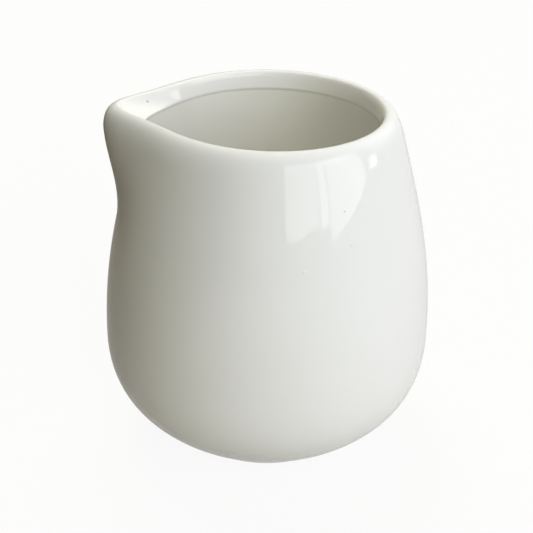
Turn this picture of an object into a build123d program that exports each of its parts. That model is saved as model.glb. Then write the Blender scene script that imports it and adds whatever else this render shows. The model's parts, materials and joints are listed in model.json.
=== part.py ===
from build123d import *
from math import cos, exp, hypot, pi, sin
import os

# Porcelain cream jug without a handle: an egg-shaped vessel on a low foot, with a rounded rim,
# a thickened collar inside it and a pouring lip drawn out of the rim towards -X.
# Millimetres, +Z up. The origin is the centre of the foot's resting face, on the body's axis.

# --- Driving dimensions -----------------------------------------------------------------------
jug_height = 75.2        # table to the crest of the rim
belly_radius = 35.0      # widest radius of the body
belly_height = 24.8      # height of the widest place
foot_radius = 17.7       # outer radius of the resting face
foot_height = 1.6        # height of the recess inside the foot
foot_width = 2.6         # width of the ring underneath, with its ground edge
foot_chamfer = 0.4       # ground edge on the inside of the resting face
heel_radius = 20.0       # outer radius where the wall stands on the foot
heel_angle = 42.7        # rise of the wall where it leaves the foot, degrees
shoulder_radius = 26.95  # outer radius where the rim starts to round over
shoulder_lean = 16.0     # inward lean of the wall there, degrees
rim_round = 5.2          # height of the rim's outer rounding
rim_width = 3.65         # from there in to the rim's highest line, the crest
collar_width = 1.1       # from the crest in to the lower edge of the collar
collar_drop = 3.4        # depth of that edge below the crest
collar_step = 0.55       # how far that edge stands in from the wall under it
collar_return = 1.1      # height over which it falls back to the wall
wall_thickness = 3.2     # glazed wall at the widest place
floor_thickness = 3.4    # glazed floor above the recess
floor_flat_radius = 7.0  # level middle of the floor
glaze_thickness = 0.3    # one coat of glaze on the wall
base_glaze_thickness = 0.25

# The pouring lip
lip_reach = 7.95         # how far the lip stands out of the rim's circle
collar_reach = 3.25      # the same along the lower edge of the collar
lip_height = 24.0        # depth below the crest where the lip begins to leave the body
lip_spread = 0.2         # angle over which the lip falls off to either side, radians
lip_nose = 0.17          # roundness of the lip's nose, radians

# Fullness of the section's curves, as the lengths of their end handles
heel_fullness = 8.0
belly_fullness_below = 14.0
belly_fullness_above = 18.0
shoulder_fullness = 15.4
rim_fullness = 2.9
crest_fullness_outside = 1.65
crest_fullness_inside = 0.8
collar_fullness = 2.8
return_fullness = 0.5
floor_fullness = 15.0

# --- Heights and radii that follow from them -------------------------------------------------------
crest_radius = shoulder_radius - rim_width
collar_radius = crest_radius - collar_width
shoulder_height = jug_height - rim_round
collar_height = jug_height - collar_drop
floor_height = foot_height + floor_thickness
lip_start = jug_height - lip_height


def handle(length, degrees):
    """A curve's end handle of a given length, at an angle up from the horizontal."""
    angle = degrees * pi / 180
    return Vector(length * cos(angle), length * sin(angle))


def outward(curve, t):
    """The direction out of the clay at a point of the section."""
    tangent = curve % t
    return Vector(tangent.Y, -tangent.X)


# --- The section of the finished jug: radius across, height up ------------------------------------
heel_point = Vector(heel_radius, foot_height)
belly_point = Vector(belly_radius, belly_height)
shoulder_point = Vector(shoulder_radius, shoulder_height)
crest_point = Vector(crest_radius, jug_height)
collar_point = Vector(collar_radius, collar_height)
shoulder_angle = 90 + shoulder_lean

with BuildLine() as outside_section:
    heel = Bezier(
        heel_point,
        heel_point + handle(heel_fullness, heel_angle),
        belly_point - Vector(0, belly_fullness_below),
        belly_point,
    )
    flank = Bezier(
        belly_point,
        belly_point + Vector(0, belly_fullness_above),
        shoulder_point - handle(shoulder_fullness, shoulder_angle),
        shoulder_point,
    )
    rim_outside = Bezier(
        shoulder_point,
        shoulder_point + handle(rim_fullness, shoulder_angle),
        crest_point + Vector(crest_fullness_outside, 0),
        crest_point,
    )

inner_belly = belly_point - Vector(wall_thickness, 0)
return_point = collar_point + Vector(collar_step, -collar_return)
return_direction = handle(1, shoulder_angle)
floor_point = Vector(floor_flat_radius, floor_height)

with BuildLine() as inside_section:
    rim_inside = Bezier(
        crest_point,
        crest_point - Vector(crest_fullness_inside, 0),
        collar_point + Vector(0, collar_fullness),
        collar_point,
    )
    collar_back = Bezier(
        collar_point,
        collar_point - Vector(0, return_fullness),
        return_point + return_direction * return_fullness,
        return_point,
    )
    inner_flank = Bezier(
        return_point,
        return_point - return_direction * shoulder_fullness,
        inner_belly + Vector(0, belly_fullness_above),
        inner_belly,
    )
    inner_heel = Bezier(
        inner_belly,
        inner_belly - Vector(0, belly_fullness_below),
        floor_point + Vector(floor_fullness, 0),
        floor_point,
    )


# --- The lip ---------------------------------------------------------------------------------------
def swell(height):
    """How much of the lip there is at a height, from 0 where it starts to 1 at the crest."""
    share = min(max((height - lip_start) / (jug_height - lip_start), 0), 1)
    return share * share * (3 - 2 * share)


def outside_reach(height):
    """The lip's reach outside and over the rim, up to the crest."""
    return lip_reach * swell(height)


def rim_inside_reach(height):
    """The lip's reach from the crest down to the lower edge of the collar."""
    down = (jug_height - height) / collar_drop
    return lip_reach + (collar_reach - lip_reach) * down * down


def inside_reach(height):
    """The lip's reach inside, below the collar."""
    return collar_reach * swell(height) / swell(collar_height)


def ring_points(radius, reach):
    """Points along half of a level ring, a circle drawn out towards -X, closer at the lip."""
    points = []
    steps = 24
    for k in range(steps + 1):
        turn = 1 - k / steps
        angle = pi * turn * (0.4 + 0.6 * turn * turn)
        fall = (hypot(angle, lip_nose) - lip_nose) / lip_spread
        out = radius + reach * exp(-fall)
        points.append((-out * cos(angle), out * sin(angle)))
    return points


ring_ends = ((0, 1), (0, -1))  # a half ring leaves the back and reaches the nose squarely

# Each skin is one smooth surface over some stretches of the section. A stretch has its curve, the
# rings along it, how they gather at its start (1 is evenly, 2 is closer), and the lip's reach.
outside_skins = [
    [(heel, 7, 1, outside_reach), (flank, 9, 1, outside_reach)],
    [(rim_outside, 7, 1, outside_reach)],
]
inside_skins = [
    [(rim_inside, 6, 1, rim_inside_reach)],
    [(collar_back, 4, 1, inside_reach)],
    [(inner_flank, 9, 2, inside_reach), (inner_heel, 8, 1, inside_reach)],
]


def rings(stretches, depth):
    """Height and points of each ring on a skin at a depth below the finished surface."""
    for curve, count, gather, reach_at in stretches:
        steps = count - 1 if curve is stretches[-1][0] else count
        for k in range(count):
            t = (k / steps) ** gather
            place = curve @ t
            direction = outward(curve, t)
            if curve is heel and k == 0:
                # the wall ends level on the foot, whatever its depth
                sunk = place - Vector(depth / direction.X, 0)
            else:
                sunk = place - direction * depth
            yield sunk.Y, ring_points(sunk.X, reach_at(place.Y))


# --- The surfaces ----------------------------------------------------------------------------------
def side(skins, depth):
    """The curved faces of one side of the wall, a skin to each."""
    faces = []
    for stretches in skins:
        with BuildPart() as stack:
            for height, points in sorted(rings(stretches, depth)):
                with BuildSketch(Plane.XY.offset(height)):
                    with BuildLine():
                        half = Spline(*points, tangents=ring_ends)
                        mirror(half, about=Plane.XZ)
                    make_face()
            loft()
        faces += stack.faces().filter_by(GeomType.PLANE, reverse=True)
    return faces


def level_face(ring):
    """A flat face inside one ring."""
    height, points = ring
    with BuildSketch(Plane.XY.offset(height)) as face:
        with BuildLine():
            half = Spline(*points, tangents=ring_ends)
            mirror(half, about=Plane.XZ)
        make_face()
    return face.sketch


finished_outside = side(outside_skins, 0)
finished_inside = side(inside_skins, 0)
bare_outside = side(outside_skins, glaze_thickness)
bare_inside = side(inside_skins, glaze_thickness)

finished_bottom = level_face(next(rings(outside_skins[0], 0)))
bare_bottom = level_face(next(rings(outside_skins[0], glaze_thickness)))
finished_floor = level_face(list(rings(inside_skins[-1], 0))[-1])
bare_floor = level_face(list(rings(inside_skins[-1], glaze_thickness))[-1])

# The two coats of glaze part along a narrow upright strip at the crest of the rim.
crest_outline = ring_points(crest_radius, lip_reach)
with BuildPart() as crest_band:
    for height in (jug_height - glaze_thickness, jug_height):
        with BuildSketch(Plane.XY.offset(height)):
            with BuildLine():
                half = Spline(*crest_outline, tangents=ring_ends)
                mirror(half, about=Plane.XZ)
            make_face()
    loft(ruled=True)
crest_strip = crest_band.faces().filter_by(GeomType.PLANE, reverse=True)


# --- The pieces ------------------------------------------------------------------------------------
# The cast vessel: wall, floor, thickened rim and drawn-out lip, one casting.
with BuildPart() as porcelain_body:
    add(Solid(Shell(bare_outside + bare_inside + bare_bottom.faces() + bare_floor.faces())))

# The glaze outside, from the foot to the crest of the rim.
with BuildPart() as outer_glaze:
    foot_edge = finished_bottom - bare_bottom
    add(Solid(Shell(finished_outside + bare_outside + crest_strip + foot_edge.faces())))

# The glaze inside, from the crest over the collar and down over the floor.
with BuildPart() as liner_glaze:
    floor_faces = finished_floor.faces() + bare_floor.faces()
    add(Solid(Shell(finished_inside + bare_inside + crest_strip + floor_faces)))

# The bare ring that the jug stands on, ground flat underneath.
foot_inner_radius = foot_radius - foot_width
with BuildPart() as foot_ring:
    with BuildSketch(Plane.XZ):
        with BuildLine():
            Polyline(
                (foot_inner_radius + foot_chamfer, 0),
                (foot_radius, 0),
                (heel_radius, foot_height),
                (foot_inner_radius, foot_height),
                (foot_inner_radius, foot_chamfer),
                close=True,
            )
        make_face()
    revolve(axis=Axis.Z)

# The glaze patch in the recess inside the foot.
with BuildPart() as base_glaze:
    with BuildSketch(Plane.XY.offset(foot_height)):
        Circle(foot_inner_radius)
    extrude(amount=-base_glaze_thickness)

os.makedirs("parts", exist_ok=True)
nodes = {
    "porcelain_body": porcelain_body,
    "outer_glaze": outer_glaze,
    "liner_glaze": liner_glaze,
    "foot_ring": foot_ring,
    "base_glaze": base_glaze,
}
for name, node in nodes.items():
    node.part.label = name
    export_step(node.part, f"parts/{name}.step")
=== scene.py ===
"""A handleless porcelain cream jug: glaze coats, bare foot and studio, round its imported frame."""
import json
import logging
import math
from dataclasses import dataclass, field
from enum import Enum

import bpy
from mathutils import Euler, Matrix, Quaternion, Vector

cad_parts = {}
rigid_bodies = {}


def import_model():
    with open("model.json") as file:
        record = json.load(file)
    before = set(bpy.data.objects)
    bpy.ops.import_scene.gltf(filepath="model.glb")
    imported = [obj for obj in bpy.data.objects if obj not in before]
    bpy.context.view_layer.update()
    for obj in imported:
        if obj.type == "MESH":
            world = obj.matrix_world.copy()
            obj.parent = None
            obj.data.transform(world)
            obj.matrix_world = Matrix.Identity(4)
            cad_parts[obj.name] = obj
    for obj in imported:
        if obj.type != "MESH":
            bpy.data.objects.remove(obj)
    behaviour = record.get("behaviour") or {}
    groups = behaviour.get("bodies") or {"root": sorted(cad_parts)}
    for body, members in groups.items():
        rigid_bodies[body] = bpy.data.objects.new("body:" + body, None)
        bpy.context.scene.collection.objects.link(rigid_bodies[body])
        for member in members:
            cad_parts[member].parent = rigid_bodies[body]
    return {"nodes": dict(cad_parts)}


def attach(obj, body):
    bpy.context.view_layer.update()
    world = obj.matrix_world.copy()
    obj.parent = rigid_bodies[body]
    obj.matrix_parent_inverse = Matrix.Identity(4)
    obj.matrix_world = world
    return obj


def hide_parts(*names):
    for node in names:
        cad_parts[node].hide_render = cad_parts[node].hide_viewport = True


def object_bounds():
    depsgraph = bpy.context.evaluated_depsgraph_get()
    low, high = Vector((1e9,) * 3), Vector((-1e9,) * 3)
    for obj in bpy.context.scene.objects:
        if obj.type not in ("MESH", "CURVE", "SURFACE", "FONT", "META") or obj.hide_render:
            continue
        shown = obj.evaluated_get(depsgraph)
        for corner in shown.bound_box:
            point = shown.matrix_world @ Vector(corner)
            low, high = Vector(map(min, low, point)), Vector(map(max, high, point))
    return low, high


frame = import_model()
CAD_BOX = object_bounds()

log = logging.getLogger("cream_jug")

MM = 0.001
MAT_RISE = 0.0005  # keeps one mat clear of the floor and of the next, metres
SMOOTH_ANGLE = math.radians(40)  # edges sharper than this stay crisp
DOWN = -0.9  # a face whose normal is lower than this looks down
WELD = 0.000001  # vertices nearer than this are one, metres
MIRROR_WELD = 0.00001  # the same where the two halves meet
CARD_SIDES = 64  # round a card
SPOT_CORE = 0.3  # the share of a spot's radius within which it is at full strength
BODY = "root"
Colour = tuple[float, float, float]
Spot = tuple[Vector, float]  # a place and a radius, metres


class Coat(Enum):
    """The two coats of glaze, named as the nodes that they stand for."""

    OUTSIDE = "outer_glaze"
    INSIDE = "liner_glaze"


# --- Small helpers over Blender's operators -----------------------------------------------------
def deselect_all() -> None:
    """Leave object mode's selection empty, so that an operator acts on one piece only."""
    bpy.ops.object.select_all(action="DESELECT")


def activate(piece: bpy.types.Object) -> None:
    """Make one piece the selected and active object.

    Args:
        piece: The object to work on.
    """
    deselect_all()
    piece.select_set(True)
    bpy.context.view_layer.objects.active = piece


def apply_modifiers(piece: bpy.types.Object) -> None:
    """Apply every modifier of a piece, in order.

    Args:
        piece: The object whose modifiers become mesh.
    """
    activate(piece)
    for modifier in list(piece.modifiers):
        bpy.ops.object.modifier_apply(modifier=modifier.name)


def handle(length: float, degrees: float) -> Vector:
    """A curve's end handle.

    Args:
        length: Its length.
        degrees: Its angle up from the horizontal.

    Returns:
        The handle as a vector across and up.
    """
    angle = math.radians(degrees)
    return Vector((length * math.cos(angle), length * math.sin(angle)))


@dataclass
class Knot:
    """A point of a section, with the handles that shape the curve before and after it."""

    place: Vector
    before: Vector
    after: Vector


# --- The lip ------------------------------------------------------------------------------------
@dataclass(frozen=True)
class Lip:
    """The pouring lip, drawn out of the rim towards -X. Millimetres and radians."""

    crest_height: float
    collar_height: float
    reach: float = 7.95
    collar_reach: float = 3.25
    depth: float = 24.0
    spread: float = 0.2
    nose: float = 0.17

    def swell(self, height: float) -> float:
        """How much of the lip there is at a height, from 0 where it starts to 1 at the crest."""
        share = min(max((height - self.crest_height + self.depth) / self.depth, 0), 1)
        return share * share * (3 - 2 * share)

    def reach_at(self, coat: Coat, height: float) -> float:
        """How far the lip's nose stands out at a height.

        Args:
            coat: Which side of the wall.
            height: Height above the table.

        Returns:
            The distance in millimetres.
        """
        if coat is Coat.OUTSIDE:
            return self.reach * self.swell(height)
        down = (self.crest_height - height) / (self.crest_height - self.collar_height)
        if down < 1:
            return self.reach + (self.collar_reach - self.reach) * down * down
        return self.collar_reach * self.swell(height) / self.swell(self.collar_height)

    def push(self, coat: Coat, height: float, angle: float) -> float:
        """How far a point of the wall is pushed out.

        Args:
            coat: Which side of the wall.
            height: Height above the table.
            angle: Angle round the axis from the lip.

        Returns:
            The distance in millimetres.
        """
        fall = (math.hypot(angle, self.nose) - self.nose) / self.spread
        return self.reach_at(coat, height) * math.exp(-fall)


def soft_spot(
    material: bpy.types.Material,
    where: bpy.types.NodeSocket,
    place: Vector,
    radius: float,
    full_radius: float,
) -> bpy.types.NodeSocket:
    """A soft round mask about a place.

    Args:
        material: The material that gets the nodes.
        where: Its Object coordinates.
        place: The spot's centre, in metres.
        radius: The radius at which the mask reaches 0, in metres.
        full_radius: The radius within which it is 1, in metres.

    Returns:
        The mask's socket.
    """
    nodes, links = material.node_tree.nodes, material.node_tree.links
    distance = nodes.new("ShaderNodeVectorMath")
    distance.operation = "DISTANCE"
    distance.inputs[1].default_value = place
    links.new(where, distance.inputs[0])
    mask = nodes.new("ShaderNodeMapRange")
    mask.interpolation_type = "SMOOTHSTEP"
    mask.inputs["From Min"].default_value = radius
    mask.inputs["From Max"].default_value = full_radius
    links.new(distance.outputs["Value"], mask.inputs["Value"])
    return mask.outputs["Result"]


# --- Finishes -----------------------------------------------------------------------------------
@dataclass(frozen=True)
class GlazeFinish:
    """Clear glossy glaze over white porcelain."""

    name: str
    colour: Colour = (0.91, 0.915, 0.86)
    pooled_colour: Colour = (0.90, 0.91, 0.845)
    speck_colour: Colour = (0.62, 0.58, 0.52)
    roughness: float = 0.02
    roughness_spread: float = 0.03
    wave_height: float = 0.00006
    specks: tuple[Spot, ...] = ()
    pimples: tuple[Spot, ...] = ()
    pimple_height: float = 1.6  # times the wave's height
    drift_scale: float = 26
    drift_detail: float = 3
    wave_scale: float = 120
    wave_detail: float = 1
    ior: float = 1.5

    def material(self) -> bpy.types.Material:
        """Build the material.

        Returns:
            A node material on Object coordinates.
        """
        material = bpy.data.materials.new(self.name)
        material.use_nodes = True
        nodes, links = material.node_tree.nodes, material.node_tree.links
        shader = nodes["Principled BSDF"]
        shader.inputs["IOR"].default_value = self.ior
        where = nodes.new("ShaderNodeTexCoord").outputs["Object"]

        thickness = nodes.new("ShaderNodeTexNoise")
        thickness.inputs["Scale"].default_value = self.drift_scale
        thickness.inputs["Detail"].default_value = self.drift_detail
        links.new(where, thickness.inputs["Vector"])
        tint = nodes.new("ShaderNodeMix")
        tint.data_type = "RGBA"
        tint.inputs["A"].default_value = (*self.colour, 1)
        tint.inputs["B"].default_value = (*self.pooled_colour, 1)
        links.new(thickness.outputs["Fac"], tint.inputs["Factor"])
        colour = tint.outputs["Result"]
        for place, radius in self.specks:
            mask = soft_spot(material, where, place, radius, radius * SPOT_CORE)
            darker = nodes.new("ShaderNodeMix")
            darker.data_type = "RGBA"
            darker.inputs["B"].default_value = (*self.speck_colour, 1)
            links.new(mask, darker.inputs["Factor"])
            links.new(colour, darker.inputs["A"])
            colour = darker.outputs["Result"]
        links.new(colour, shader.inputs["Base Color"])

        sheen = nodes.new("ShaderNodeMapRange")
        sheen.inputs["To Min"].default_value = self.roughness
        sheen.inputs["To Max"].default_value = self.roughness + self.roughness_spread
        links.new(thickness.outputs["Fac"], sheen.inputs["Value"])
        links.new(sheen.outputs["Result"], shader.inputs["Roughness"])

        waves = nodes.new("ShaderNodeTexNoise")
        waves.inputs["Scale"].default_value = self.wave_scale
        waves.inputs["Detail"].default_value = self.wave_detail
        links.new(where, waves.inputs["Vector"])
        height = waves.outputs["Fac"]
        for place, radius in self.pimples:
            mask = soft_spot(material, where, place, radius, radius * SPOT_CORE)
            raised = nodes.new("ShaderNodeMath")
            raised.operation = "MULTIPLY_ADD"
            raised.inputs[1].default_value = self.pimple_height
            links.new(mask, raised.inputs[0])
            links.new(height, raised.inputs[2])
            height = raised.outputs["Value"]
        bump = nodes.new("ShaderNodeBump")
        bump.inputs["Strength"].default_value = 1
        bump.inputs["Distance"].default_value = self.wave_height
        links.new(height, bump.inputs["Height"])
        links.new(bump.outputs["Normal"], shader.inputs["Normal"])
        return material


@dataclass(frozen=True)
class BiscuitFinish:
    """Bare fired porcelain, ground smooth but dull, with a little grey wear."""

    name: str
    colour: Colour = (0.80, 0.78, 0.73)
    worn_colour: Colour = (0.52, 0.49, 0.44)
    roughness: float = 0.62
    grain_height: float = 0.00003
    grain_scale: float = 2600
    grain_detail: float = 4
    grain_strength: float = 0.6
    wear_scale: float = 180
    wear_detail: float = 5
    wear_range: tuple[float, float] = (0.52, 0.78)

    def material(self) -> bpy.types.Material:
        """Build the material.

        Returns:
            A node material on Object coordinates.
        """
        material = bpy.data.materials.new(self.name)
        material.use_nodes = True
        nodes, links = material.node_tree.nodes, material.node_tree.links
        shader = nodes["Principled BSDF"]
        where = nodes.new("ShaderNodeTexCoord").outputs["Object"]
        wear = nodes.new("ShaderNodeTexNoise")
        wear.inputs["Scale"].default_value = self.wear_scale
        wear.inputs["Detail"].default_value = self.wear_detail
        links.new(where, wear.inputs["Vector"])
        worn = nodes.new("ShaderNodeMapRange")
        worn.inputs["From Min"].default_value = self.wear_range[0]
        worn.inputs["From Max"].default_value = self.wear_range[1]
        links.new(wear.outputs["Fac"], worn.inputs["Value"])
        tint = nodes.new("ShaderNodeMix")
        tint.data_type = "RGBA"
        tint.inputs["A"].default_value = (*self.colour, 1)
        tint.inputs["B"].default_value = (*self.worn_colour, 1)
        links.new(worn.outputs["Result"], tint.inputs["Factor"])
        links.new(tint.outputs["Result"], shader.inputs["Base Color"])
        shader.inputs["Roughness"].default_value = self.roughness
        grain = nodes.new("ShaderNodeTexNoise")
        grain.inputs["Scale"].default_value = self.grain_scale
        grain.inputs["Detail"].default_value = self.grain_detail
        links.new(where, grain.inputs["Vector"])
        bump = nodes.new("ShaderNodeBump")
        bump.inputs["Strength"].default_value = self.grain_strength
        bump.inputs["Distance"].default_value = self.grain_height
        links.new(grain.outputs["Fac"], bump.inputs["Height"])
        links.new(bump.outputs["Normal"], shader.inputs["Normal"])
        return material


# --- The vessel ---------------------------------------------------------------------------------
@dataclass
class Vessel:
    """The glazed vessel: its section, spun round the axis, with the lip drawn out of it.

    Sizes in millimetres; the section runs from the foot over the rim and down to the floor.
    """

    crest_height: float = CAD_BOX[1][2] / MM
    belly_radius: float = 35.0
    belly_height: float = 24.8
    heel_radius: float = 20.0
    heel_height: float = 1.6
    heel_angle: float = 42.7
    shoulder_radius: float = 26.95
    shoulder_lean: float = 16.0
    rim_round: float = 5.2
    rim_width: float = 3.65
    collar_width: float = 1.1
    collar_drop: float = 3.4
    collar_return: float = 1.1
    collar_step: float = 0.55
    wall_thickness: float = 3.2
    floor_thickness: float = 3.4
    floor_flat_radius: float = 7.0
    glaze_thickness: float = 0.3
    heel_fullness: float = 8.0
    belly_fullness_below: float = 14.0
    belly_fullness_above: float = 18.0
    shoulder_fullness: float = 15.4
    rim_fullness: float = 2.9
    crest_fullness_outside: float = 1.65
    crest_fullness_inside: float = 0.8
    collar_fullness: float = 2.8
    return_fullness: float = 0.5
    floor_fullness: float = 15.0
    section_steps: int = 26
    turn_stages: tuple[tuple[float, int], ...] = ((0.35, 18), (1.2, 20), (math.pi, 34))
    outside_glaze: GlazeFinish = field(
        default_factory=lambda: GlazeFinish(
            "outer_clear_glaze",
            specks=((Vector((13.88, -24.93, 64.3)) * MM, 0.25 * MM),),
            pimples=(
                (Vector((6.72, -30.53, 54.29)) * MM, 0.5 * MM),
                (Vector((15.47, -26.1, 57.86)) * MM, 0.4 * MM),
            ),
        )
    )
    inside_glaze: GlazeFinish = field(
        default_factory=lambda: GlazeFinish(
            "liner_glaze_painted_light",
            # Painted light: the liner's colours are lighter than the outside glaze's, to brighten
            # the interior.
            colour=(0.95, 0.945, 0.875),
            pooled_colour=(0.94, 0.935, 0.855),
            specks=((Vector((-25.57, 5.87, 73.64)) * MM, 0.4 * MM),),
        )
    )
    lip: Lip = field(init=False)

    def __post_init__(self) -> None:
        """Set the lip on this vessel's rim."""
        self.shoulder_height = self.crest_height - self.rim_round
        self.collar_height = self.crest_height - self.collar_drop
        self.lip = Lip(self.crest_height, self.collar_height)

    def outside_knots(self) -> list[Knot]:
        """The section's knots from the foot to the crest.

        Returns:
            Knots, in millimetres across and up.
        """
        lean = 90 + self.shoulder_lean
        heel = Vector((self.heel_radius, self.heel_height))
        belly = Vector((self.belly_radius, self.belly_height))
        shoulder = Vector((self.shoulder_radius, self.shoulder_height))
        crest = Vector((self.shoulder_radius - self.rim_width, self.crest_height))
        up = Vector((0, 1))
        return [
            Knot(heel, heel, heel + handle(self.heel_fullness, self.heel_angle)),
            Knot(
                belly,
                belly - up * self.belly_fullness_below,
                belly + up * self.belly_fullness_above,
            ),
            Knot(
                shoulder,
                shoulder - handle(self.shoulder_fullness, lean),
                shoulder + handle(self.rim_fullness, lean),
            ),
            Knot(crest, crest + Vector((self.crest_fullness_outside, 0)), crest),
        ]

    def inside_knots(self) -> list[Knot]:
        """The section's knots from the crest down to the middle of the floor.

        Returns:
            Knots, in millimetres across and up.
        """
        _, belly, _, crest = self.outside_knots()
        crest_place = crest.place
        collar = Vector((crest_place.x - self.collar_width, self.collar_height))
        wall = collar + Vector((self.collar_step, -self.collar_return))
        direction = handle(1, 90 + self.shoulder_lean)
        inner_belly = belly.place - Vector((self.wall_thickness, 0))
        floor = Vector((self.floor_flat_radius, self.heel_height + self.floor_thickness))
        centre = Vector((0, floor.y))
        up = Vector((0, 1))
        return [
            Knot(crest_place, crest_place, crest_place - Vector((self.crest_fullness_inside, 0))),
            Knot(collar, collar + up * self.collar_fullness, collar - up * self.return_fullness),
            Knot(
                wall,
                wall + direction * self.return_fullness,
                wall - direction * self.shoulder_fullness,
            ),
            Knot(
                inner_belly,
                inner_belly + up * self.belly_fullness_above,
                inner_belly - up * self.belly_fullness_below,
            ),
            Knot(floor, floor + Vector((self.floor_fullness, 0)), floor.lerp(centre, 0.3)),
            Knot(centre, floor.lerp(centre, 0.7), centre),
        ]

    def spin(self, name: str, knots: list[Knot]) -> bpy.types.Object:
        """Spin a section half way round the axis, from the lip to the back.

        Args:
            name: The piece's name.
            knots: The section.

        Returns:
            The half surface, as a mesh with its place in its vertices.
        """
        deselect_all()
        bpy.ops.curve.primitive_bezier_curve_add(location=(0, 0, 0))
        piece = bpy.context.active_object
        piece.name = name
        curve = piece.data
        curve.resolution_u = self.section_steps
        spline = curve.splines[0]
        spline.bezier_points.add(len(knots) - 2)
        for point, knot in zip(spline.bezier_points, knots):
            point.handle_left_type = point.handle_right_type = "FREE"
            point.co = (-knot.place.x * MM, 0, knot.place.y * MM)
            point.handle_left = (-knot.before.x * MM, 0, knot.before.y * MM)
            point.handle_right = (-knot.after.x * MM, 0, knot.after.y * MM)
        bpy.ops.object.convert(target="MESH")
        piece.data.name = name
        bpy.ops.object.mode_set(mode="EDIT")
        bpy.ops.mesh.select_all(action="SELECT")
        turned = 0.0
        for turn, steps in self.turn_stages:
            bpy.ops.mesh.spin(steps=steps, angle=turn - turned, center=(0, 0, 0), axis=(0, 0, 1))
            turned = turn
        bpy.ops.mesh.select_all(action="SELECT")
        bpy.ops.mesh.remove_doubles(threshold=WELD)
        bpy.ops.object.mode_set(mode="OBJECT")
        return piece

    def draw_lip(self, piece: bpy.types.Object, coat: Coat) -> None:
        """Draw the lip out of a half surface, then mirror it to the whole.

        Args:
            piece: The half surface.
            coat: Which side of the wall it is.
        """
        most = self.lip.reach
        forward = piece.vertex_groups.new(name="lip_forward")
        sideways = piece.vertex_groups.new(name="lip_sideways")
        for vertex in piece.data.vertices:
            x, y, z = vertex.co
            if math.hypot(x, y) < MM:
                continue
            angle = math.atan2(y, -x)
            share = self.lip.push(coat, z / MM, angle) / most
            forward.add([vertex.index], share * max(math.cos(angle), 0), "REPLACE")
            sideways.add([vertex.index], share * math.sin(angle), "REPLACE")
        activate(piece)
        for group, direction, sign in ((forward, "X", -1), (sideways, "Y", 1)):
            push = piece.modifiers.new(group.name, "DISPLACE")
            push.direction = direction
            push.vertex_group = group.name
            push.mid_level = 0
            push.strength = sign * most * MM
        mirror = piece.modifiers.new("other_half", "MIRROR")
        mirror.use_axis = (False, True, False)
        mirror.merge_threshold = MIRROR_WELD
        apply_modifiers(piece)
        piece.vertex_groups.clear()

    def thicken(self, piece: bpy.types.Object) -> None:
        """Give a coat of glaze its thickness, into the wall.

        Args:
            piece: The finished surface, open at its edges.
        """
        activate(piece)
        bpy.ops.object.mode_set(mode="EDIT")
        bpy.ops.mesh.select_all(action="SELECT")
        bpy.ops.mesh.normals_make_consistent(inside=False)
        bpy.ops.object.mode_set(mode="OBJECT")
        if not self.faces_out(piece):
            bpy.ops.object.mode_set(mode="EDIT")
            bpy.ops.mesh.flip_normals()
            bpy.ops.object.mode_set(mode="OBJECT")
        coat = piece.modifiers.new("coat", "SOLIDIFY")
        coat.thickness = self.glaze_thickness * MM
        coat.offset = -1
        coat.use_even_offset = True
        apply_modifiers(piece)
        bpy.ops.object.shade_smooth_by_angle(angle=SMOOTH_ANGLE)

    @staticmethod
    def faces_out(piece: bpy.types.Object) -> bool:
        """Whether the highest faces point up, as both coats do at the crest."""
        top = max(piece.data.polygons, key=lambda face: face.center.z)
        return top.normal.z > 0

    def build(self) -> list[bpy.types.Object]:
        """Build both coats of glaze.

        Returns:
            The two pieces.
        """
        pieces = []
        for coat, knots, glaze in (
            (Coat.OUTSIDE, self.outside_knots(), self.outside_glaze),
            (Coat.INSIDE, self.inside_knots(), self.inside_glaze),
        ):
            piece = self.spin(f"{coat.value}_coat", knots)
            self.draw_lip(piece, coat)
            self.thicken(piece)
            piece.data.materials.clear()
            piece.data.materials.append(glaze.material())
            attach(piece, BODY)
            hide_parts(coat.value)
            log.info("%s: %d faces", piece.name, len(piece.data.polygons))
            pieces.append(piece)
        return pieces


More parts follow.
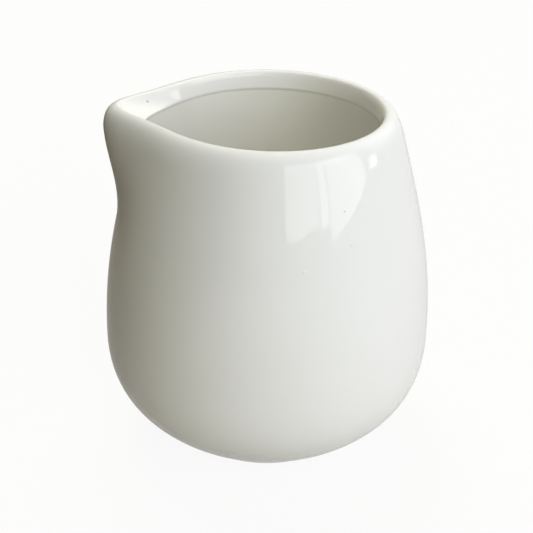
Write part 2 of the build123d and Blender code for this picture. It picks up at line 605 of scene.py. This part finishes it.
# --- The foot -----------------------------------------------------------------------------------
@dataclass
class Foot:
    """The bare ring that the jug stands on, the glaze patch inside it and the bare body above.

    Sizes in millimetres. The patch's hollow is a list of steps, each an inset and a rise.
    """

    resting_radius: float = 17.7
    heel_radius: float = 20.0
    width: float = 2.6
    height: float = 1.6
    edge_round: float = 0.25
    edge_facets: int = 3
    patch_thickness: float = 0.25
    patch_clearance: float = 0.02
    patch_hollow: tuple[tuple[float, float], ...] = ((1.2, 0.05), (3.0, 0.06), (5.0, 0.03))
    steps: int = 160
    biscuit: BiscuitFinish = field(default_factory=lambda: BiscuitFinish("bare_porcelain"))
    glaze: GlazeFinish = field(default_factory=lambda: GlazeFinish("base_glaze"))

    def ring(self) -> bpy.types.Object:
        """Model the ring.

        Returns:
            The finished ring.
        """
        inner = self.resting_radius - self.width
        deselect_all()
        bpy.ops.mesh.primitive_circle_add(
            vertices=self.steps,
            radius=self.resting_radius * MM,
            fill_type="NGON",
            location=(0, 0, 0),
        )
        piece = bpy.context.active_object
        piece.name = piece.data.name = "foot_ring_ground"
        bpy.ops.object.mode_set(mode="EDIT")
        bpy.ops.mesh.select_all(action="SELECT")
        bpy.ops.mesh.inset(thickness=self.width * MM, depth=0)
        bpy.ops.mesh.delete(type="FACE")
        bpy.ops.mesh.select_all(action="SELECT")
        bpy.ops.mesh.extrude_region_move(
            TRANSFORM_OT_translate={"value": (0, 0, self.height * MM)}
        )
        bpy.ops.object.mode_set(mode="OBJECT")
        for vertex in piece.data.vertices:
            radius = math.hypot(vertex.co.x, vertex.co.y) / MM
            vertex.select = vertex.co.z > self.height * MM / 2 and radius > inner + self.width / 2
        for edge in piece.data.edges:
            edge.select = all(piece.data.vertices[i].select for i in edge.vertices)
        for face in piece.data.polygons:
            face.select = False
        flare = self.heel_radius / self.resting_radius
        bpy.ops.object.mode_set(mode="EDIT")
        bpy.ops.transform.resize(value=(flare, flare, 1), center_override=(0, 0, 0))
        bpy.ops.mesh.select_all(action="SELECT")
        bpy.ops.mesh.normals_make_consistent(inside=False)
        bpy.ops.object.mode_set(mode="OBJECT")
        soften = piece.modifiers.new("ground_edges", "BEVEL")
        soften.width = self.edge_round * MM
        soften.segments = self.edge_facets
        soften.limit_method = "ANGLE"
        soften.angle_limit = SMOOTH_ANGLE
        apply_modifiers(piece)
        bpy.ops.object.shade_smooth_by_angle(angle=SMOOTH_ANGLE)
        return piece

    def patch(self) -> bpy.types.Object:
        """Model the glaze patch under the floor.

        Returns:
            The finished patch, a little hollow in the middle.
        """
        radius = self.resting_radius - self.width - self.patch_clearance
        deselect_all()
        bpy.ops.mesh.primitive_cylinder_add(
            vertices=self.steps,
            radius=radius * MM,
            depth=self.patch_thickness * MM,
            end_fill_type="NGON",
            location=(0, 0, (self.height - self.patch_thickness / 2) * MM),
        )
        piece = bpy.context.active_object
        piece.name = piece.data.name = "base_glaze_patch"
        bpy.ops.object.transform_apply(location=True, rotation=True, scale=True)
        bpy.ops.object.mode_set(mode="EDIT")
        bpy.ops.mesh.select_mode(type="FACE")
        bpy.ops.mesh.select_all(action="DESELECT")
        bpy.ops.object.mode_set(mode="OBJECT")
        for face in piece.data.polygons:
            face.select = face.normal.z < DOWN
        bpy.ops.object.mode_set(mode="EDIT")
        for inset, rise in self.patch_hollow:
            bpy.ops.mesh.inset(thickness=inset * MM, depth=0)
            bpy.ops.transform.translate(value=(0, 0, rise * MM))
        bpy.ops.mesh.select_mode(type="VERT")
        bpy.ops.object.mode_set(mode="OBJECT")
        bpy.ops.object.shade_smooth_by_angle(angle=SMOOTH_ANGLE)
        return piece

    def build(self) -> list[bpy.types.Object]:
        """Build the ring and the patch, and dress the bare body.

        Returns:
            The new pieces.
        """
        bare = self.biscuit.material()
        pieces = []
        for piece, node, slot, material in (
            (self.ring(), "foot_ring", "porcelain", bare),
            (self.patch(), "base_glaze", "glaze", self.glaze.material()),
        ):
            piece.data.materials.clear()
            piece.data.materials.append(material)
            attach(piece, BODY)
            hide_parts(node)
            log.info("%s: %d faces", piece.name, len(piece.data.polygons))
            pieces.append(piece)
        body = frame["nodes"]["porcelain_body"]
        body.data.materials.clear()
        body.data.materials.append(bare)
        log.info("porcelain_body: dressed")
        return pieces


# --- The studio ---------------------------------------------------------------------------------
class Role(Enum):
    """What a soft light does."""

    WASH = "lights the jug only"
    SHEEN = "shows in the glaze only"

    def set(self, lamp: bpy.types.Object) -> None:
        """Give a lamp this role.

        Args:
            lamp: The lamp.
        """
        lamp.visible_glossy = self is not Role.WASH
        lamp.visible_diffuse = self is not Role.SHEEN


def soft_light(
    light: "Pane | Overhead", width: float, height: float, place: Vector, out: Vector
) -> bpy.types.Object:
    """Make a rectangular area lamp.

    Args:
        light: Its name, radiance, colour and role.
        width: Its width, in metres.
        height: Its height, in metres.
        place: Where its middle hangs.
        out: The direction from the jug to it, along which it faces back.

    Returns:
        The lamp.
    """
    data = bpy.data.lights.new(light.name, "AREA")
    data.shape = "RECTANGLE"
    data.size = width
    data.size_y = height
    data.energy = light.radiance * math.pi * width * height
    data.color = light.colour
    lamp = bpy.data.objects.new(light.name, data)
    bpy.context.scene.collection.objects.link(lamp)
    lamp.location = place
    lamp.rotation_euler = (-out).to_track_quat("-Z", "Y").to_euler()
    light.role.set(lamp)
    return lamp


@dataclass(frozen=True)
class Pane:
    """An upright soft light, given by what it spans as seen from the jug.

    Bearings are from behind the camera towards +X. Angles are in degrees, the distance in metres.
    """

    name: str
    bearings: tuple[float, float]
    rises: tuple[float, float]
    radiance: float
    colour: Colour = (1, 1, 1)
    facing: float | None = None
    distance: float = 0.9
    role: Role = Role.WASH

    def place(self, target: Vector) -> bpy.types.Object:
        """Hang the light.

        Args:
            target: The point that it is seen from.

        Returns:
            The lamp.
        """
        facing = math.radians(sum(self.bearings) / 2 if self.facing is None else self.facing)
        left, right = (self.distance * math.tan(math.radians(b) - facing) for b in self.bearings)
        low, high = (self.distance * math.tan(math.radians(r)) for r in self.rises)
        out = Vector((math.sin(facing), -math.cos(facing), 0))
        across = Vector((math.cos(facing), math.sin(facing), 0))
        middle = out * self.distance + across * (left + right) / 2
        place = target + middle + Vector((0, 0, (low + high) / 2))
        return soft_light(self, right - left, high - low, place, out)


@dataclass(frozen=True)
class Overhead:
    """A soft light above, aimed at the jug. Angles in degrees, lengths in metres."""

    name: str
    bearing: float
    rise: float
    width: float
    depth: float
    radiance: float
    colour: Colour = (1, 1, 1)
    distance: float = 0.9
    role: Role = Role.WASH

    def place(self, target: Vector) -> bpy.types.Object:
        """Hang the light.

        Args:
            target: The point that it is aimed at.

        Returns:
            The lamp.
        """
        bearing, rise = math.radians(self.bearing), math.radians(self.rise)
        level = math.cos(rise)
        out = Vector((math.sin(bearing) * level, -math.cos(bearing) * level, math.sin(rise)))
        return soft_light(self, self.width, self.depth, target + out * self.distance, out)


class CardShape(Enum):
    """The form of a card round the jug."""

    DOME = "dome"
    MAT = "mat"


@dataclass(frozen=True)
class Card:
    """A dull card that darkens what the glaze reflects, out of the camera's sight.

    Lengths in metres. Mats that overlap lie in layers of their own.
    """

    name: str
    shape: CardShape
    size: float
    middle: tuple[float, float, float]
    dense_to: float
    clear_from: float
    colour: Colour
    layer: int = 1

    def place(self) -> bpy.types.Object:
        """Set the card up, dense about its middle and thinning out to nothing.

        Returns:
            The card.
        """
        deselect_all()
        if self.shape is CardShape.DOME:
            bpy.ops.mesh.primitive_uv_sphere_add(
                segments=CARD_SIDES, ring_count=CARD_SIDES // 2, radius=self.size
            )
        else:
            bpy.ops.mesh.primitive_circle_add(
                vertices=CARD_SIDES,
                radius=self.size,
                fill_type="NGON",
                location=(0, 0, self.layer * MAT_RISE),
            )
            bpy.ops.object.transform_apply(location=True, rotation=True, scale=True)
        card = bpy.context.active_object
        card.name = card.data.name = self.name
        material = bpy.data.materials.new(self.name)
        material.use_nodes = True
        nodes, links = material.node_tree.nodes, material.node_tree.links
        nodes.clear()
        cloth = nodes.new("ShaderNodeBsdfDiffuse")
        cloth.inputs["Color"].default_value = (*self.colour, 1)
        gap = nodes.new("ShaderNodeBsdfTransparent")
        where = nodes.new("ShaderNodeTexCoord").outputs["Object"]
        mask = soft_spot(material, where, Vector(self.middle), self.clear_from, self.dense_to)
        mix = nodes.new("ShaderNodeMixShader")
        links.new(mask, mix.inputs["Fac"])
        links.new(gap.outputs["BSDF"], mix.inputs[1])
        links.new(cloth.outputs["BSDF"], mix.inputs[2])
        output = nodes.new("ShaderNodeOutputMaterial")
        links.new(mix.outputs["Shader"], output.inputs["Surface"])
        card.data.materials.append(material)
        card.visible_camera = False
        card.visible_shadow = False
        return card


@dataclass
class Studio:
    """Floor, lamps, cards, world and camera.

    Angles in degrees, the lens and its sensor in millimetres, other lengths in metres.
    """

    target: Vector = field(default_factory=lambda: Vector((-0.34, 0, 38.95)) * MM)
    camera_distance: float = 0.243
    camera_elevation: float = 28.26
    camera_roll: float = 1.32
    lens: float = 76.17
    sensor_width: float = 36.0
    nearest: float = 0.01
    floor_size: float = 6.0
    floor_white: float = 0.93
    floor_colour: Colour = (0.92, 0.895, 0.83)
    fill_colour: Colour = (0.02, 0.02, 0.02)
    lights: tuple[Pane | Overhead, ...] = (
        Pane("left_pane", (12, 37.5), (4.8, 39), 1.8, (0.95, 1.0, 0.98), 37.5, role=Role.SHEEN),
        Pane("mullion_gap", (38.5, 45.5), (3.9, 39), 2.6, (0.97, 1.0, 1.0), 37.5, role=Role.SHEEN),
        Pane("right_pane", (46.6, 81), (1.8, 41), 2.1, (0.97, 1.0, 1.0), 60, role=Role.SHEEN),
        Pane("window_head", (39, 70), (27, 37), 1.0, (1.0, 1.0, 1.0), 50, 0.8, Role.SHEEN),
        Pane("far_pane", (87, 97), (2, 14), 2.5, (1.0, 1.0, 0.97), role=Role.SHEEN),
        Pane("side_window", (98, 146), (12, 49), 0.6, (1.0, 1.0, 0.97), role=Role.SHEEN),
        Pane("window_wash", (12, 38), (3, 49), 4.25, (0.98, 1.0, 0.92), 37.5, 1.0),
        Pane("sky_wash", (38, 66), (5, 50), 2.6, (0.56, 0.61, 1.0), 37.5, 1.0),
        Pane("right_wash", (66, 110), (5, 45), 0.75, (1.0, 0.95, 0.88)),
        Pane("side_wash", (110, 150), (5, 50), 0.45, (1.0, 0.96, 0.85), distance=1.0),
        Overhead("high_back", 180, 60, 0.5, 0.5, 3.8, (1.0, 0.98, 0.92)),
        Overhead("high_left_back", -150, 65, 0.4, 0.4, 5.2, (1.0, 0.98, 0.95)),
        Overhead("high_left", -60, 66, 0.5, 0.5, 0.7, (1.0, 0.94, 0.80)),
    )
    cards: tuple[Card, ...] = (
        Card("drape", CardShape.DOME, 1.6, (-1.6, 0.32, 0.0), 1.6, 2.6, (0.06, 0.045, 0.02)),
        Card("mat", CardShape.MAT, 1.55, (-0.95, 0.34, 0.0), 0.80, 1.18, (0.10, 0.08, 0.04)),
        Card("far_mat", CardShape.MAT, 1.56, (-1.2, -0.9, 0.0), 0.60, 1.35, (0.10, 0.08, 0.04), 2),
    )

    @staticmethod
    def seen(tree: bpy.types.NodeTree) -> bpy.types.NodeSocket:
        """A mask of the rays that show a backdrop itself, rather than its light.

        Args:
            tree: The node tree that gets the nodes.

        Returns:
            The socket that is 1 for camera, glossy and transmission rays.
        """
        path = tree.nodes.new("ShaderNodeLightPath")
        mask = path.outputs["Is Camera Ray"]
        for ray in ("Is Glossy Ray", "Is Transmission Ray"):
            either = tree.nodes.new("ShaderNodeMath")
            either.operation = "MAXIMUM"
            tree.links.new(mask, either.inputs[0])
            tree.links.new(path.outputs[ray], either.inputs[1])
            mask = either.outputs["Value"]
        return mask

    def floor(self) -> None:
        """Lay the pale floor: white to the eye with a faint shadow, duller as a light."""
        deselect_all()
        bpy.ops.mesh.primitive_plane_add(size=self.floor_size, location=(0, 0, 0))
        floor = bpy.context.active_object
        floor.name = "floor"
        material = bpy.data.materials.new("pale_floor")
        material.use_nodes = True
        nodes, links = material.node_tree.nodes, material.node_tree.links
        nodes.clear()
        surface = nodes.new("ShaderNodeBsdfDiffuse")
        surface.inputs["Color"].default_value = (*self.floor_colour, 1)
        white = nodes.new("ShaderNodeEmission")
        share = nodes.new("ShaderNodeMath")
        share.operation = "MULTIPLY"
        share.inputs[1].default_value = self.floor_white
        links.new(self.seen(material.node_tree), share.inputs[0])
        mix = nodes.new("ShaderNodeMixShader")
        links.new(share.outputs["Value"], mix.inputs["Fac"])
        links.new(surface.outputs["BSDF"], mix.inputs[1])
        links.new(white.outputs["Emission"], mix.inputs[2])
        output = nodes.new("ShaderNodeOutputMaterial")
        links.new(mix.outputs["Shader"], output.inputs["Surface"])
        floor.data.materials.append(material)

    def world(self) -> None:
        """Light the room: white to the eye, a dim fill on the jug."""
        world = bpy.data.worlds.new("room")
        bpy.context.scene.world = world
        world.use_nodes = True
        nodes, links = world.node_tree.nodes, world.node_tree.links
        nodes.clear()
        colour = nodes.new("ShaderNodeMix")
        colour.data_type = "RGBA"
        colour.inputs["A"].default_value = (*self.fill_colour, 1)
        colour.inputs["B"].default_value = (1, 1, 1, 1)
        links.new(self.seen(world.node_tree), colour.inputs["Factor"])
        background = nodes.new("ShaderNodeBackground")
        links.new(colour.outputs["Result"], background.inputs["Color"])
        output = nodes.new("ShaderNodeOutputWorld")
        links.new(background.outputs["Background"], output.inputs["Surface"])

    def camera(self) -> None:
        """Set the camera at the jug's own viewing angle."""
        elevation = math.radians(self.camera_elevation)
        data = bpy.data.cameras.new("camera")
        data.sensor_width = self.sensor_width
        data.lens = self.lens
        data.clip_start = self.nearest
        camera = bpy.data.objects.new("camera", data)
        bpy.context.scene.collection.objects.link(camera)
        back = Vector((0, -math.cos(elevation), math.sin(elevation)))
        camera.location = self.target + back * self.camera_distance
        tilt = Euler((math.pi / 2 - elevation, 0, 0)).to_quaternion()
        camera.rotation_mode = "QUATERNION"
        camera.rotation_quaternion = tilt @ Quaternion((0, 0, 1), math.radians(self.camera_roll))
        bpy.context.scene.camera = camera

    def build(self) -> None:
        """Set up the whole studio."""
        self.floor()
        self.world()
        for light in self.lights:
            light.place(self.target)
        for card in self.cards:
            card.place()
        self.camera()
        bpy.context.scene.view_settings.view_transform = "Standard"


def main() -> None:
    """Build the jug and its studio; the builders log the new pieces' face counts."""
    logging.basicConfig(level=logging.INFO, format="%(name)s: %(message)s")
    Vessel().build()
    Foot().build()
    Studio().build()
    bpy.context.view_layer.update()


if __name__ == "__main__":
    main()
